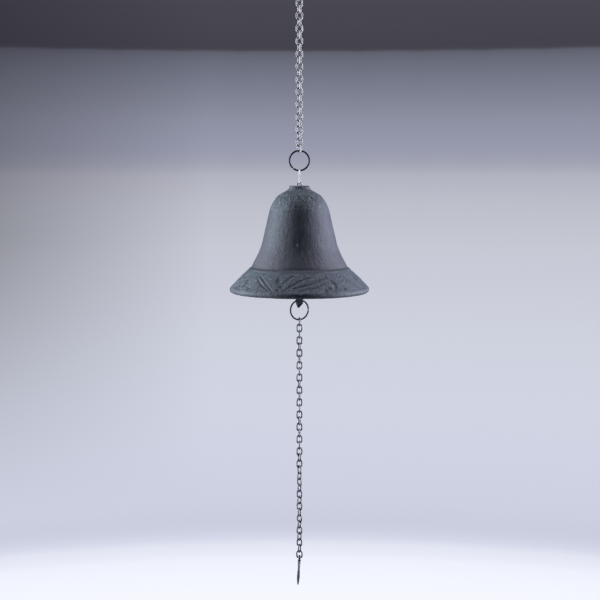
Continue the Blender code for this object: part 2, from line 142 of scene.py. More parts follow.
class Shape:
    """Collects the vertices and faces of one piece."""

    def __init__(self):
        self.points = []
        self.faces = []
        self.count = 0

    def grid(self, points, closed_rows=False, caps=False):
        rows, columns = points.shape[:2]
        quads = grid_faces(rows, columns, closed_rows) + self.count
        self.faces += [tuple(quad) for quad in quads.tolist()]
        if caps:
            first = range(self.count, self.count + columns)
            last = range(self.count + (rows - 1) * columns, self.count + rows * columns)
            self.faces += [tuple(first), tuple(last[::-1])]
        self.points.append(points.reshape(-1, 3))
        self.count += rows * columns
        return self

    def mesh(self, name):
        mesh = bpy.data.meshes.new(name)
        mesh.from_pydata(np.concatenate(self.points).tolist(), [], self.faces)
        return mesh

    def make(self, name, body, material, slot, node, sharp=35):
        """The finished piece, which rides a body and replaces a node of the frame."""
        mesh = self.mesh(name)
        work = bmesh.new()
        work.from_mesh(mesh)
        bmesh.ops.recalc_face_normals(work, faces=work.faces)
        work.to_mesh(mesh)
        work.free()
        mesh.materials.append(material)
        shade(mesh, sharp)
        obj = in_scene(name, mesh)
        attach(obj, body)
        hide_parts(node)
        return obj


def moved(points, height=0.0, turn=0.0, lean=0.0):
    """The points leaned about Y and turned about Z, in degrees, and then lifted."""
    matrix = (Matrix.Translation((0, 0, height)) @ Matrix.Rotation(math.radians(turn), 4, "Z")
              @ Matrix.Rotation(math.radians(lean), 4, "Y"))
    m = np.array(matrix)
    return points @ m[:3, :3].T + m[:3, 3]


def sweep(path, radius, sides, closed):
    """Round wire along a line that lies in the XZ plane. radius is one number or one for each point."""
    radius = np.broadcast_to(np.asarray(radius, float), len(path))
    if closed:
        tangent = np.roll(path, -1, 0) - np.roll(path, 1, 0)
    else:
        tangent = np.gradient(path, axis=0)
    tangent /= np.linalg.norm(tangent, axis=1)[:, None]
    across = np.array([0.0, 1.0, 0.0])
    out = np.cross(tangent, across)
    a = full_turn(sides)
    ring = np.cos(a)[None, :, None] * out[:, None, :] + np.sin(a)[None, :, None] * across
    return path[:, None, :] + radius[:, None, None] * ring


def wire_ring(radius, wire, steps, sides):
    """Closed ring of round wire in the XZ plane."""
    return sweep(circle(radius, full_turn(steps)), wire / 2, sides, True)


def cut_ends(path, wire):
    """Radii for a wire whose two cut ends are slightly rounded."""
    loss, reach = 0.22, 0.16 * wire
    length = walked(path)
    near = np.minimum(length, length[-1] - length)
    return wire / 2 * (1 - loss * np.clip(1 - near / reach, 0, 1) ** 2)


def revolve(profile, columns, ripple=None):
    """Profile of (radius, height) turned about Z. ripple changes the radius point by point."""
    profile = np.asarray(profile, float)
    a = full_turn(columns)
    radius = np.repeat(profile[:, :1], columns, 1)
    height = np.repeat(profile[:, 1:2], columns, 1)
    if ripple is not None:
        radius = ripple(radius, height, a[None, :])
    return np.stack([radius * np.cos(a), radius * np.sin(a), height], -1)


# ---------------------------------------------------------------- material helpers

def linear(r, g, b):
    """Linear colour from 8-bit display values."""
    def channel(v):
        return v / 12.92 if v <= 0.04045 else ((v + 0.055) / 1.055) ** 2.4
    return tuple(channel(v / 255) for v in (r, g, b))


def fill_ramp(ramp, stops):
    """Gives a colour ramp its stops, each a position and a colour."""
    while len(ramp.elements) < len(stops):
        ramp.elements.new(0.5)
    for element, (position, colour) in zip(ramp.elements, stops):
        element.position = position
        element.color = (*colour, 1)


class Look:
    """Small builder of a material's nodes."""

    def __init__(self, name):
        self.material = bpy.data.materials.new(name)
        self.material.use_nodes = True
        self.tree = self.material.node_tree
        self.shader = self.tree.nodes["Principled BSDF"]
        self.place = self.add("ShaderNodeTexCoord").outputs["Object"]

    def add(self, kind, **settings):
        node = self.tree.nodes.new(kind)
        for key, value in settings.items():
            setattr(node, key, value)
        return node

    def link(self, source, socket):
        self.tree.links.new(source, socket)

    def stretched(self, x, y, z):
        mapping = self.add("ShaderNodeMapping")
        mapping.inputs["Scale"].default_value = (x, y, z)
        self.link(self.place, mapping.inputs["Vector"])
        return mapping.outputs["Vector"]

    def noise(self, scale, detail, rough, place=None, distortion=0.0):
        node = self.add("ShaderNodeTexNoise")
        node.inputs["Scale"].default_value = scale
        node.inputs["Detail"].default_value = detail
        node.inputs["Roughness"].default_value = rough
        node.inputs["Distortion"].default_value = distortion
        self.link(place or self.place, node.inputs["Vector"])
        return node.outputs["Fac"]

    def cells(self, scale):
        node = self.add("ShaderNodeTexVoronoi")
        node.inputs["Scale"].default_value = scale
        self.link(self.place, node.inputs["Vector"])
        return node.outputs["Distance"]

    def ramp(self, value, *stops):
        node = self.add("ShaderNodeValToRGB")
        fill_ramp(node.color_ramp, stops)
        self.link(value, node.inputs["Fac"])
        return node.outputs["Color"]

    def limits(self, value, a, b, low=0.0, high=1.0):
        node = self.add("ShaderNodeMapRange", clamp=True)
        for name, number in zip(("From Min", "From Max", "To Min", "To Max"), (a, b, low, high)):
            node.inputs[name].default_value = number
        self.link(value, node.inputs["Value"])
        return node.outputs["Result"]

    def math(self, operation, a, b):
        node = self.add("ShaderNodeMath", operation=operation)
        for socket, value in zip(node.inputs, (a, b)):
            if isinstance(value, (int, float)):
                socket.default_value = value
            else:
                self.link(value, socket)
        return node.outputs["Value"]

    def mix(self, factor, a, b, blend="MIX"):
        node = self.add("ShaderNodeMix", data_type="RGBA", blend_type=blend)
        for name, value in (("Factor", factor), ("A", a), ("B", b)):
            socket = [s for s in node.inputs if s.name == name and s.enabled][0]
            if isinstance(value, (int, float)):
                socket.default_value = value
            elif isinstance(value, tuple):
                socket.default_value = (*value, 1)
            else:
                self.link(value, socket)
        return [s for s in node.outputs if s.enabled][0]

    def bump(self, height, strength, distance, under=None):
        node = self.add("ShaderNodeBump")
        node.inputs["Strength"].default_value = strength
        node.inputs["Distance"].default_value = distance
        self.link(height, node.inputs["Height"])
        if under is not None:
            self.link(under, node.inputs["Normal"])
        return node.outputs["Normal"]

    def edges(self, low, high):
        """1 on worn convex edges, 0 elsewhere."""
        return self.limits(self.add("ShaderNodeNewGeometry").outputs["Pointiness"], low, high)

    def attribute(self, name):
        return self.add("ShaderNodeAttribute", attribute_name=name).outputs["Fac"]

    def finish(self, colour, roughness, metallic, normal, specular=0.5):
        self.link(colour, self.shader.inputs["Base Color"])
        self.link(roughness, self.shader.inputs["Roughness"])
        self.shader.inputs["Metallic"].default_value = metallic
        self.shader.inputs["Specular IOR Level"].default_value = specular
        self.link(normal, self.shader.inputs["Normal"])
        return self.material


def zinc_look(name, shine):
    """Zinc plate with drawn-wire scratches and duller patches. shine is 0 for dull, 1 for new."""
    look = Look(name)
    patches = look.noise(420, 4, 0.6)
    fine = look.noise(2600, 2, 0.5, look.stretched(1, 1, 0.25))
    low, middle, high = 0.20 + 0.22 * shine, 0.34 + 0.30 * shine, 0.46 + 0.32 * shine
    colour = look.ramp(patches, (0.30, (low, low * 0.97, low)), (0.55, (middle, middle * 0.97, middle)),
                       (0.78, (high, high * 0.97, high)))
    colour = look.mix(look.edges(0.52, 0.62), colour, (high + 0.06, high + 0.05, high + 0.05))
    rough = look.limits(patches, 0.3, 0.75, 0.64, 0.50)
    return look.finish(colour, rough, 0.85, look.bump(fine, 0.25, 0.00008))


def gunmetal_look(name, shine):
    """Blackened spring wire with a blue cast, rubbed where it touches. shine is 0 for matt."""
    look = Look(name)
    patches = look.noise(300, 4, 0.6)
    fine = look.noise(1900, 3, 0.6)
    colour = look.ramp(patches, (0.30, (0.020, 0.020, 0.034)), (0.58, (0.040, 0.040, 0.062)),
                       (0.80, (0.085, 0.082, 0.102)))
    rough = look.limits(fine, 0.3, 0.7, 0.56 - 0.20 * shine, 0.70 - 0.16 * shine)
    return look.finish(colour, rough, 0.2 + 0.7 * shine, look.bump(fine, 0.2, 0.0001), 0.3)


def antique_look(name, pale):
    """Antique pewter plate: dark in the hollows, paler where it is rubbed."""
    look = Look(name)
    patches = look.noise(380, 4, 0.62)
    fine = look.noise(2200, 3, 0.6)
    colour = look.ramp(patches, (0.28, (0.030, 0.028, 0.036)),
                       (0.52, (0.090 * pale, 0.086 * pale, 0.102 * pale)),
                       (0.78, (0.21 * pale, 0.20 * pale, 0.22 * pale)))
    colour = look.mix(look.edges(0.515, 0.60), colour, (0.30 * pale, 0.29 * pale, 0.31 * pale))
    rough = look.limits(fine, 0.3, 0.7, 0.30 + 0.2 * (1 - pale), 0.50 + 0.2 * (1 - pale))
    return look.finish(colour, rough, 0.9, look.bump(fine, 0.25, 0.0001))


def cast_look():
    """Sand-cast iron under a slate blue patina with green bloom and brown shadows."""
    look = Look("patina_iron")
    blotch = look.noise(58, 5, 0.62, distortion=0.4)
    bloom = look.noise(125, 4, 0.6)
    mottle = look.noise(330, 4, 0.62, distortion=0.3)
    streak = look.noise(330, 4, 0.65, look.stretched(1, 1, 0.09))
    grain = look.noise(1500, 3, 0.65)
    pits = look.limits(look.cells(700), 0.0, 0.26)
    relief = look.attribute("relief")
    border = look.attribute("border")

    def on_borders(elsewhere):
        """1 on the borders, and this much on the plain waist."""
        return look.limits(border, 0.0, 1.0, elsewhere, 1.0)

    base = look.ramp(blotch, (0.30, (0.078, 0.074, 0.104)), (0.47, (0.088, 0.094, 0.130)),
                     (0.60, (0.086, 0.100, 0.132)), (0.75, (0.092, 0.114, 0.130)))
    green = look.math("MULTIPLY", look.limits(bloom, 0.50, 0.70, 0.0, 0.6), on_borders(0.45))
    colour = look.mix(green, base, (0.084, 0.119, 0.130))
    tone = look.math("MULTIPLY", look.limits(streak, 0.34, 0.66, 0.62, 1.0), on_borders(0.90))
    colour = look.mix(1.0, colour, look.ramp(tone, (0.0, (0, 0, 0)), (1.0, (1, 1, 1))), "MULTIPLY")
    dark = look.math("MULTIPLY", look.limits(mottle, 0.48, 0.34, 0.0, 0.62), on_borders(0.55))
    colour = look.mix(dark, colour, (0.034, 0.040, 0.052))
    pale = look.math("MULTIPLY", look.limits(mottle, 0.53, 0.70, 0.0, 0.70), on_borders(0.30))
    colour = look.mix(pale, colour, (0.152, 0.182, 0.212))
    brown = look.math("MULTIPLY", look.attribute("warm"), look.limits(blotch, 0.36, 0.60, 0.45, 1.0))
    colour = look.mix(brown, colour, (0.092, 0.080, 0.104))
    speck = look.limits(grain, 0.40, 0.68, 0.0, 0.42)
    colour = look.mix(speck, colour, (0.140, 0.156, 0.178))
    fleck = look.math("MULTIPLY", look.limits(look.noise(760, 2, 0.5), 0.56, 0.68, 0.0, 0.75), border)
    colour = look.mix(fleck, colour, (0.195, 0.240, 0.260))
    # The borders' hollows are darker, from dark wax left in them and painted shade; their raised parts
    # are paler, from rubbing and a painted highlight.
    colour = look.mix(look.limits(relief, -0.10, -1.0, 0.0, 0.58), colour, (0.022, 0.030, 0.038))
    colour = look.mix(look.limits(relief, 0.10, 1.0, 0.0, 0.42), colour, (0.185, 0.215, 0.245))
    # Painted shade in the crease above the bead.
    colour = look.mix(look.attribute("crease"), colour, (0.036, 0.034, 0.042))
    colour = look.mix(look.edges(0.545, 0.66), colour, (0.150, 0.176, 0.180))
    colour = look.mix(look.attribute("chip"), colour, (0.62, 0.64, 0.66))
    rough = look.limits(mottle, 0.3, 0.7, 0.46, 0.66)
    normal = look.bump(grain, 0.6, 0.0004)
    normal = look.bump(pits, 0.3, 0.00015, normal)
    normal = look.bump(streak, 0.5, 0.0007, normal)
    normal = look.bump(mottle, 0.4, 0.0009, normal)
    return look.finish(colour, rough, 0.0, normal, 0.28)


def forged_look():
    """Black forged iron with mill scale."""
    look = Look("forged_scale")
    patches = look.noise(150, 5, 0.62)
    grain = look.noise(1100, 4, 0.65)
    colour = look.ramp(patches, (0.30, (0.022, 0.022, 0.030)), (0.55, (0.045, 0.046, 0.060)),
                       (0.78, (0.095, 0.092, 0.112)))
    colour = look.mix(look.edges(0.53, 0.64), colour, (0.20, 0.20, 0.24))
    rough = look.limits(grain, 0.3, 0.7, 0.36, 0.58)
    normal = look.bump(grain, 0.35, 0.0002)
    normal = look.bump(patches, 0.25, 0.0005, normal)
    return look.finish(colour, rough, 0.75, normal)


ZINC = zinc_look("zinc_plate", 0)
BRIGHT = zinc_look("bright_zinc_plate", 0.8)
GUNMETAL = gunmetal_look("blackened_wire", 1)
MATT_WIRE = gunmetal_look("matt_black_wire", 0)
ANTIQUE = antique_look("antique_pewter", 1.0)
DARK_ANTIQUE = antique_look("dark_antique_pewter", 0.85)
CAST = cast_look()
FORGED = forged_look()


# ---------------------------------------------------------------- chains and rings

# Across a link's welded joint: height along the side, and the share of the wire's radius there.
WELD = ((-0.00016, 1.0), (-0.00007, 0.93), (0.0, 0.80), (0.00007, 0.93), (0.00016, 1.0))


def link_line(width, length, wire):
    """Straight-sided link in the XZ plane. Its welded joint is in the middle of the +X side."""
    radius = (width - wire) / 2
    half = (length - wire) / 2 - radius
    side = [-half, -half * 0.5, *(z for z, share in WELD), half * 0.5]
    line = [(radius, 0, z) for z in side]
    line += [(radius * math.cos(a), 0, half + radius * math.sin(a))
             for a in np.linspace(0, math.pi, 17)]
    line += [(-radius, 0, z) for z in (half * 0.5, 0.0, -half * 0.5)]
    line += [(radius * math.cos(a), 0, -half + radius * math.sin(a))
             for a in np.linspace(math.pi, 2 * math.pi, 17)[:-1]]
    radii = np.full(len(line), wire / 2)
    radii[2:2 + len(WELD)] *= [share for z, share in WELD]
    return np.array(line), radii


def make_pair(name, sizes, turns, material, slot):
    """Two links, one in the other, for one joined pair of the frame."""
    pitch, width, wire = sizes
    low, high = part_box(name)
    middle = (low.z + high.z) / 2
    wire_grid = sweep(*link_line(width, pitch + LINK_PLAY + 2 * wire, wire), 12, True)
    shape = Shape()
    for height, turn in zip((middle + pitch / 2, middle - pitch / 2), turns):
        flip = 180 if rng.random() < 0.5 else 0
        shape.grid(moved(wire_grid, height, turn + flip), closed_rows=True)
    shape.make(name + "_links", name, material, slot, name)


def make_link(name, sizes, turn, material, slot):
    """Single link. Its sizes are its width, length and wire."""
    low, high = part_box(name)
    grid = sweep(*link_line(*sizes), 14, True)
    shape = Shape().grid(moved(grid, (low.z + high.z) / 2, turn), closed_rows=True)
    shape.make(name + "_wire", name, material, slot, name)


def top_turn(link):
    """A link's turn about the chain, in degrees. The last one is turned further, to suit the ring."""
    turn = 33 if link == 2 * TOP_PAIRS - 1 else 21
    return turn + 90 * (link % 2)


def pull_turn(link):
    """A link's turn about the chain, in degrees: a little off true, with a twist past the middle."""
    twist = 52 / (1 + math.exp((24 - link) / 1.2))
    return 8 + twist + 9 * math.sin(2.1 * link) + 90 * ((link + 1) % 2)


def make_ring(name, outer, wire, butt, turn, material):
    """Split ring whose cut ends nearly meet. butt is the angle where they do."""
    low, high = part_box(name)
    radius = (outer - wire) / 2
    middle = (low.z + high.z + outer - RING_OUTER) / 2
    arc = 2 * math.pi * radius - RING_GAP
    ends = np.array([0, 0.00008, 0.00022, 0.0005])
    body = np.linspace(0.0011, arc - 0.0011, 84)
    along = np.concatenate([ends, body, arc - ends[::-1]])
    line = circle(radius, math.radians(butt) + (RING_GAP / 2 + along) / radius)
    grid = sweep(line, cut_ends(line, wire), 16, False)
    shape = Shape().grid(moved(grid, middle, turn), caps=True)
    shape.make(name + "_wire", name, material, "gunmetal", name, sharp=50)


def make_hook():
    """S hook bent from one wire, in the YZ plane."""
    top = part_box("s_hook")[1].z
    wire, loop, rise = 0.0012, 0.0022, 0.0151
    upper, lower = -loop, -rise + loop
    line = [(loop * math.cos(a), 0, upper + loop * math.sin(a))
            for a in np.radians(np.linspace(-50, 180, 30))]
    line += [(-loop * math.cos(math.pi * t), 0, upper + (lower - upper) * t)
             for t in np.linspace(0, 1, 16)[1:-1]]
    line += [(loop * math.cos(a), 0, lower + loop * math.sin(a))
             for a in np.radians(np.linspace(0, -230, 30))]
    line = spaced(np.array(line), 0.00038)
    grid = sweep(line, cut_ends(line, wire), 14, False)
    shape = Shape().grid(moved(grid, top - wire / 2, 90), caps=True)
    shape.make("s_hook_wire", "s_hook", BRIGHT, "zinc", "s_hook", sharp=50)


# ---------------------------------------------------------------- bell

def segment(x, y, a, b):
    """Distance from points to the line from a to b, and how far along it they are."""
    ax, ay = a
    bx, by = b
    t = ((x - ax) * (bx - ax) + (y - ay) * (by - ay)) / ((bx - ax) ** 2 + (by - ay) ** 2 + 1e-12)
    t = np.clip(t, 0, 1)
    return np.hypot(x - ax - t * (bx - ax), y - ay - t * (by - ay)), t


def stroke(x, y, line, width):
    """Groove along a smooth line: 1 in its middle, 0 outside. width is the half width, in mm."""
    tip, reach = 0.3, 0.25
    line = smooth(line, 5)
    best = np.zeros_like(x)
    count = len(line) - 1
    for i in range(count):
        distance, t = segment(x, y, line[i], line[i + 1])
        along = (i + t) / count
        taper = tip + (1 - tip) * np.clip(along / reach, 0, 1)
        taper = taper * (tip + (1 - tip) * np.clip((1 - along) / reach, 0, 1))
        best = np.maximum(best, np.clip(1 - distance / (width * taper), 0, 1))
    best = np.clip(best * 1.7, 0, 1)
    return best * best * (3 - 2 * best)


def leaf_shape(x, y, a, b, width, bend):
    """Raised leaf from a to b with a midrib, half width and bend in mm."""
    length = math.hypot(b[0] - a[0], b[1] - a[1])
    ux, uy = (b[0] - a[0]) / length, (b[1] - a[1]) / length
    u = ((x - a[0]) * ux + (y - a[1]) * uy) / length
    v = -(x - a[0]) * uy + (y - a[1]) * ux
    v = v - bend * np.sin(math.pi * np.clip(u, 0, 1))
    half = width * np.sin(math.pi * np.clip(u, 0, 1) ** 0.85) ** 0.8
    inside = np.clip(1 - np.abs(v) / np.maximum(half, 1e-6), 0, 1)
    inside = np.where((u > 0) & (u < 1), inside, 0)
    body = np.clip(inside * 2.4, 0, 1)
    rib = np.clip(1 - np.abs(v) / 0.32, 0, 1) * (inside > 0)
    rim = np.clip(1 - np.abs(np.abs(v) - half) / 0.55, 0, 1) * ((u > -0.02) & (u < 1.02))
    return body * 0.75 - 0.9 * rib, rim


def lumps(x, y, around, size, seed):
    """Smooth random lumps of this size in mm. They repeat after the distance around."""
    count = int(round(around / size))
    table = np.random.default_rng(seed).uniform(-1, 1, (count, 400))
    u, v = np.mod(x / around * count, count), np.clip(y / size + 40, 0, 398)
    i, j = np.floor(u).astype(int), np.floor(v).astype(int)
    a, b = u - i, v - j
    a, b = a * a * (3 - 2 * a), b * b * (3 - 2 * b)
    i, k = i % count, (i + 1) % count
    top = table[i, j] * (1 - a) + table[k, j] * a
    low = table[i, j + 1] * (1 - a) + table[k, j + 1] * a
    return top * (1 - b) + low * b


SKIRT_LENGTH = 27.4             # mm, from the ridge to the lip
SKIRT_RADIUS = 60.0             # mm, where the pattern is measured


def at(angle, down):
    """Pattern point in mm from an angle in degrees and a fraction of the way down the skirt."""
    return math.radians(angle) * SKIRT_RADIUS, down * SKIRT_LENGTH


# The border's leaves: stem, tip, half width and bend, the last two in mm.
BORDER_LEAVES = (
    (at(-13.5, 0.88), at(-5.5, 0.12), 2.6, -1.2),
    (at(-9, 0.80), at(9, 0.22), 2.4, 1.6),
    (at(-1, 0.84), at(26, 0.20), 2.6, 2.0),
    (at(8, 0.88), at(28, 0.46), 2.2, 1.2),
    (at(39, 0.60), at(52, 0.24), 1.9, 0.8),
    (at(28, 0.98), at(43, 0.86), 1.7, -0.5))
# Its grooves: line, half width in mm, and depth from 0 to 1.
BORDER_GROOVES = (
    ([at(-45.5, 0.30), at(-36.5, 0.57), at(-24.5, 0.88)], 1.35, 1.0),
    ([at(-44.5, 0.16), at(-34, 0.46), at(-22, 0.88)], 1.35, 1.0),
    ([at(-44.5, 0.16), at(-47, 0.24), at(-45.5, 0.34)], 0.75, 0.7),
    ([at(-21.0, 0.24), at(-20.3, 0.36), at(-19.8, 0.48)], 2.7, 1.0),
    ([at(-17, 0.65), at(-16, 0.69)], 2.0, 1.0),
    ([at(-18.5, 0.78), at(-17.5, 0.81)], 2.0, 1.0),
    ([at(-15, 0.47), at(-10, 0.27), at(-6, 0.14)], 1.7, 0.9),
    ([at(-14, 0.84), at(-8, 0.63), at(-1.5, 0.44), at(5, 0.29), at(11.5, 0.22)], 1.4, 0.9),
    ([at(-6, 0.72), at(3, 0.62), at(13.5, 0.48), at(19.5, 0.35), at(28, 0.20)], 1.6, 1.0),
    ([at(0.5, 0.80), at(12.5, 0.70), at(20.5, 0.56), at(28, 0.40)], 1.3, 0.9),
    ([at(30.5, 0.36), at(33.5, 0.55), at(32, 0.76)], 2.6, 1.0),
    ([at(26, 0.72), at(27, 0.73)], 2.0, 1.0),
    ([at(22.5, 0.79), at(22.6, 0.86)], 2.1, 1.0),
    ([at(29, 0.88), at(31, 0.88)], 0.9, 0.8),
    ([at(41, 0.76), at(41.2, 0.80)], 2.3, 1.0))
FLOWER = at(28.6, 0.62)


def skirt_relief(x, y):
    """One quarter of the flower border: raised parts above 0, hollows below."""
    h = np.zeros_like(x)
    for turn in (-90, 0, 90):
        u = x - math.radians(turn) * SKIRT_RADIUS
        for stem, tip, width, bend in BORDER_LEAVES:
            raised, rim = leaf_shape(u, y, stem, tip, width, bend)
            h = np.where(raised > 0, np.maximum(h, 0.55 * raised), h)
            h = np.where(raised < 0, 0.6 * raised, h)
            h = h - 0.55 * rim * (np.abs(raised) < 0.05)
        for line, width, depth in BORDER_GROOVES:
            h = h - depth * stroke(u, y, line, width)
        distance = np.hypot(u - FLOWER[0], y - FLOWER[1])
        angle = np.arctan2(y - FLOWER[1], u - FLOWER[0])
        petal = 2.6 + 0.9 * np.cos(5 * angle + 0.6)
        flower = np.clip(1 - distance / petal, 0, 1)
        h = h + 0.8 * np.clip(flower * 2.2, 0, 1) - 0.8 * np.clip(1 - distance / 0.8, 0, 1)
    edge = np.clip(y / 2.0, 0, 1) * np.clip((SKIRT_LENGTH - y) / 1.6, 0, 1)
    return np.clip(h, -1, 1) * edge


def shoulder_relief(angle, depth):
    """Ring of twelve small pointed arches under the crown, and the line below them."""
    period = math.radians(30)
    v = (depth - 0.0085) * 1000
    u = ((angle + period / 2) % period - period / 2) * 20.0
    arch = np.abs(np.abs(u) * 1.45 - v + 0.4)
    raised = np.clip(1 - arch / 0.9, 0, 1) * (v > -0.5) * (v < 7.0)
    hollow = np.clip(1 - np.hypot(np.abs(u) - 4.4, (v - 2.4) * 0.8) / 1.7, 0, 1)
    core = np.clip(1 - np.hypot(u, (v - 4.6) * 0.7) / 1.3, 0, 1)
    ring = np.clip(1 - np.abs(depth * 1000 - 20.4) / 1.1, 0, 1) ** 2
    return np.clip(0.8 * raised - 0.7 * hollow - 0.6 * core - 0.35 * ring, -1, 1)


def bell_lines():
    """Outline of the casting as (radius, depth) rows, with each row's part and distance along it."""
    steps = 12
    upper = smooth([CROWN[-1], *WAIST], steps)[steps:]
    parts = [("crown", smooth(CROWN, 4), 0.0005),
             ("shoulder", upper[upper[:, 1] < SHOULDER_DEPTH], 0.00055),
             ("waist", upper[upper[:, 1] >= SHOULDER_DEPTH], 0.0019),
             ("bead", smooth(BEAD, 5), 0.0005),
             ("skirt", smooth(SKIRT, 14), 0.00046),
             ("lip", smooth(LIP, 6), 0.0007),
             ("inner", smooth(INNER, 6), 0.0031)]
    rows, kinds, along = [], [], []
    for kind, line, spacing in parts:
        line = spaced(line, spacing)
        for point, distance in zip(line, walked(line)):
            if rows and np.linalg.norm(rows[-1] - point) < 1e-5:
                continue
            rows.append(point)
            kinds.append(kind)
            along.append(distance)
    return np.array(rows), np.array(kinds), np.array(along)


def bell_relief(rows, kinds, along, angle):
    """Pattern of both borders on the casting's grid, from -1 to 1."""
    relief = np.zeros((len(rows), BELL_COLUMNS))
    skirt, shoulder = kinds == "skirt", kinds == "shoulder"
    quarter = (angle + math.pi / 4) % (math.pi / 2) - math.pi / 4
    x = np.broadcast_to(quarter * SKIRT_RADIUS, (skirt.sum(), BELL_COLUMNS))
    y = np.broadcast_to((along[skirt] * 1000)[:, None], x.shape)
    relief[skirt] = skirt_relief(x, y)
    relief[shoulder] = shoulder_relief(angle[None, :], rows[shoulder, 1][:, None])
    return relief


def bell_height(rows, kinds, angle, relief):
    """How far the surface stands out from the outline: the borders, and the lumps of sand casting."""
    hollow, proud, swell, pebble = 0.00055, 0.0005, 0.00016, 0.00009
    raised = (kinds == "skirt")[:, None] & (relief > 0)
    around = 2 * math.pi * SKIRT_RADIUS
    x = np.broadcast_to(angle * SKIRT_RADIUS, relief.shape)
    y = np.broadcast_to(walked(rows)[:, None] * 1000, relief.shape)
    large = 0.6 * lumps(x, y, around, 14, 1) + 0.35 * lumps(x, y, around, 5.5, 2)
    small = lumps(x, y, around, 2.6, 3) + 0.6 * lumps(x, y, around, 1.5, 4)
    outer = np.isin(kinds, ["waist", *BORDERED])[:, None]
    bordered = np.isin(kinds, BORDERED)[:, None]
    return np.where(raised, proud, hollow) * relief + large * swell * outer + small * pebble * bordered


def blurred(values, width):
    """Running mean over an odd number of rows."""
    return np.convolve(np.pad(values, width // 2, mode="edge"), np.ones(width) / width, "valid")


def write_values(obj, name, values):
    """A number for each vertex, which the casting's look reads."""
    field = obj.data.attributes.new(name, "FLOAT", "POINT")
    field.data.foreach_set("value", np.asarray(values, np.float32).ravel())


def make_bell():
    rows, kinds, along = bell_lines()
    tangent = np.roll(rows, -1, 0) - np.roll(rows, 1, 0)
    tangent /= np.linalg.norm(tangent, axis=1)[:, None]
    angle = np.linspace(-math.pi, math.pi, BELL_COLUMNS, endpoint=False)
    relief = bell_relief(rows, kinds, along, angle)
    height = bell_height(rows, kinds, angle, relief)
    radius = np.minimum(rows[:, :1] + tangent[:, 1:] * height, BELL_REACH)
    depth = rows[:, 1:] - tangent[:, :1] * height
    points = np.stack([radius * np.sin(angle), -radius * np.cos(angle), crown - depth], -1)
    shape = Shape().grid(points, closed_rows=True)
    bell = shape.make("bell_casting", "bell", CAST, "cast_iron", "bell_shell", sharp=55)

    down = rows[:, 1]
    border = blurred(np.isin(kinds, BORDERED).astype(float), 9)
    # Painted shade: a dark line in the crease where the waist meets the bead.
    crease = 0.5 * np.exp(-((down - 0.0806) / 0.0013) ** 2) * np.isin(kinds, ["waist", "bead"])
    warm = (0.20 + 0.60 * np.exp(-((down - 0.0760) / 0.0100) ** 2)) * (kinds == "waist")
    chip_depth, chip_angle = 0.0575, math.radians(-3)
    chip = np.zeros(relief.shape)
    chip[np.argmin(np.abs(down - chip_depth) + (kinds == "inner")),
         np.argmin(np.abs(angle - chip_angle))] = 1.0
    write_values(bell, "relief", relief * (kinds != "inner")[:, None])
    write_values(bell, "border", np.repeat(border, BELL_COLUMNS))
    write_values(bell, "crease", np.repeat(crease, BELL_COLUMNS))
    write_values(bell, "chip", chip)
    write_values(bell, "warm", np.repeat(blurred(warm, 5), BELL_COLUMNS))


# ---------------------------------------------------------------- bell's fittings

def thread(pitch, depth, top, bottom):
    """Screw thread cut in a turned rod between two heights."""
    def ripple(radius, height, angle):
        phase = (height / pitch - angle / (2 * math.pi)) % 1.0
        groove = np.abs(phase - 0.5) * 2
        inside = np.clip((top - height) / pitch, 0, 1) * np.clip((height - bottom) / (pitch / 2), 0, 1)
        return radius - depth * (1 - groove) * inside
    return ripple


def make_hanger_eye():
    """Wire eye over the crown, on a threaded shank that goes down through it."""
    outer, wire, stands, rod, bottom = 0.0054, 0.0013, 0.0034, 0.0015, -0.0146
    radius = (outer - wire) / 2
    shape = Shape()
    shape.grid(moved(wire_ring(radius, wire, 48, 14), crown + stands - radius), closed_rows=True)
    neck = stands - 2 * radius + wire / 4
    profile = [(0.0007, neck), (0.0010, neck - 0.0002), (0.00135, neck - 0.0006), (rod, neck - 0.0011)]
    profile += [(rod, z) for z in np.arange(neck - 0.0012, bottom + 0.0004, -0.00012)]
    profile += [(rod - 0.0002, bottom + 0.0001), (rod - 0.0004, bottom)]
    cut = thread(0.0006, 0.00018, -0.0040, bottom + 0.0003)
    shape.grid(moved(revolve(profile, 24, cut), crown), caps=True)
    shape.make("hanger_eye_bolt", "bell", ZINC, "zinc", "hanger_eye", sharp=45)


def make_washer():
    low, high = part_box("crown_washer")
    bore, outer, bevel = 0.0019, 0.0055, 0.00012
    profile = [(bore, high.z - bevel), (bore + bevel, high.z), (outer - bevel, high.z),
               (outer, high.z - bevel), (outer, low.z + bevel), (outer - 2 * bevel, low.z),
               (bore + bevel, low.z), (bore, low.z + bevel)]
    shape = Shape().grid(revolve(profile, 64), closed_rows=True)
    shape.make("crown_washer_ring", "bell", ZINC, "zinc", "crown_washer", sharp=30)


NUT_BORE, NUT_MOUTH, NUT_FACE, NUT_CORNER = 0.0019, 0.0021, 0.0027, 0.0032


def hexed(radius, height, angle):
    """Turned profile cut down to six flats, with the corners' chamfer kept."""
    turn = (angle - math.pi / 6) % (math.pi / 3) - math.pi / 6
    flat = NUT_CORNER * math.cos(math.pi / 6) / np.cos(turn)
    return np.where(radius > NUT_MOUTH, np.minimum(radius, flat), radius)


def make_nut():
    low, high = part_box("crown_nut")
    half = [(NUT_BORE, 0.0002), (NUT_MOUTH, 0.0), (NUT_FACE, 0.0), (NUT_FACE + 0.0002, 0.0001),
            (NUT_CORNER, 0.0005)]
    profile = [(radius, high.z - inset) for radius, inset in half]
    profile += [(radius, low.z + inset) for radius, inset in half[::-1]]
    shape = Shape().grid(revolve(profile, 72, hexed), closed_rows=True)
    shape.make("crown_hex_nut", "bell", ZINC, "zinc", "crown_nut", sharp=30)


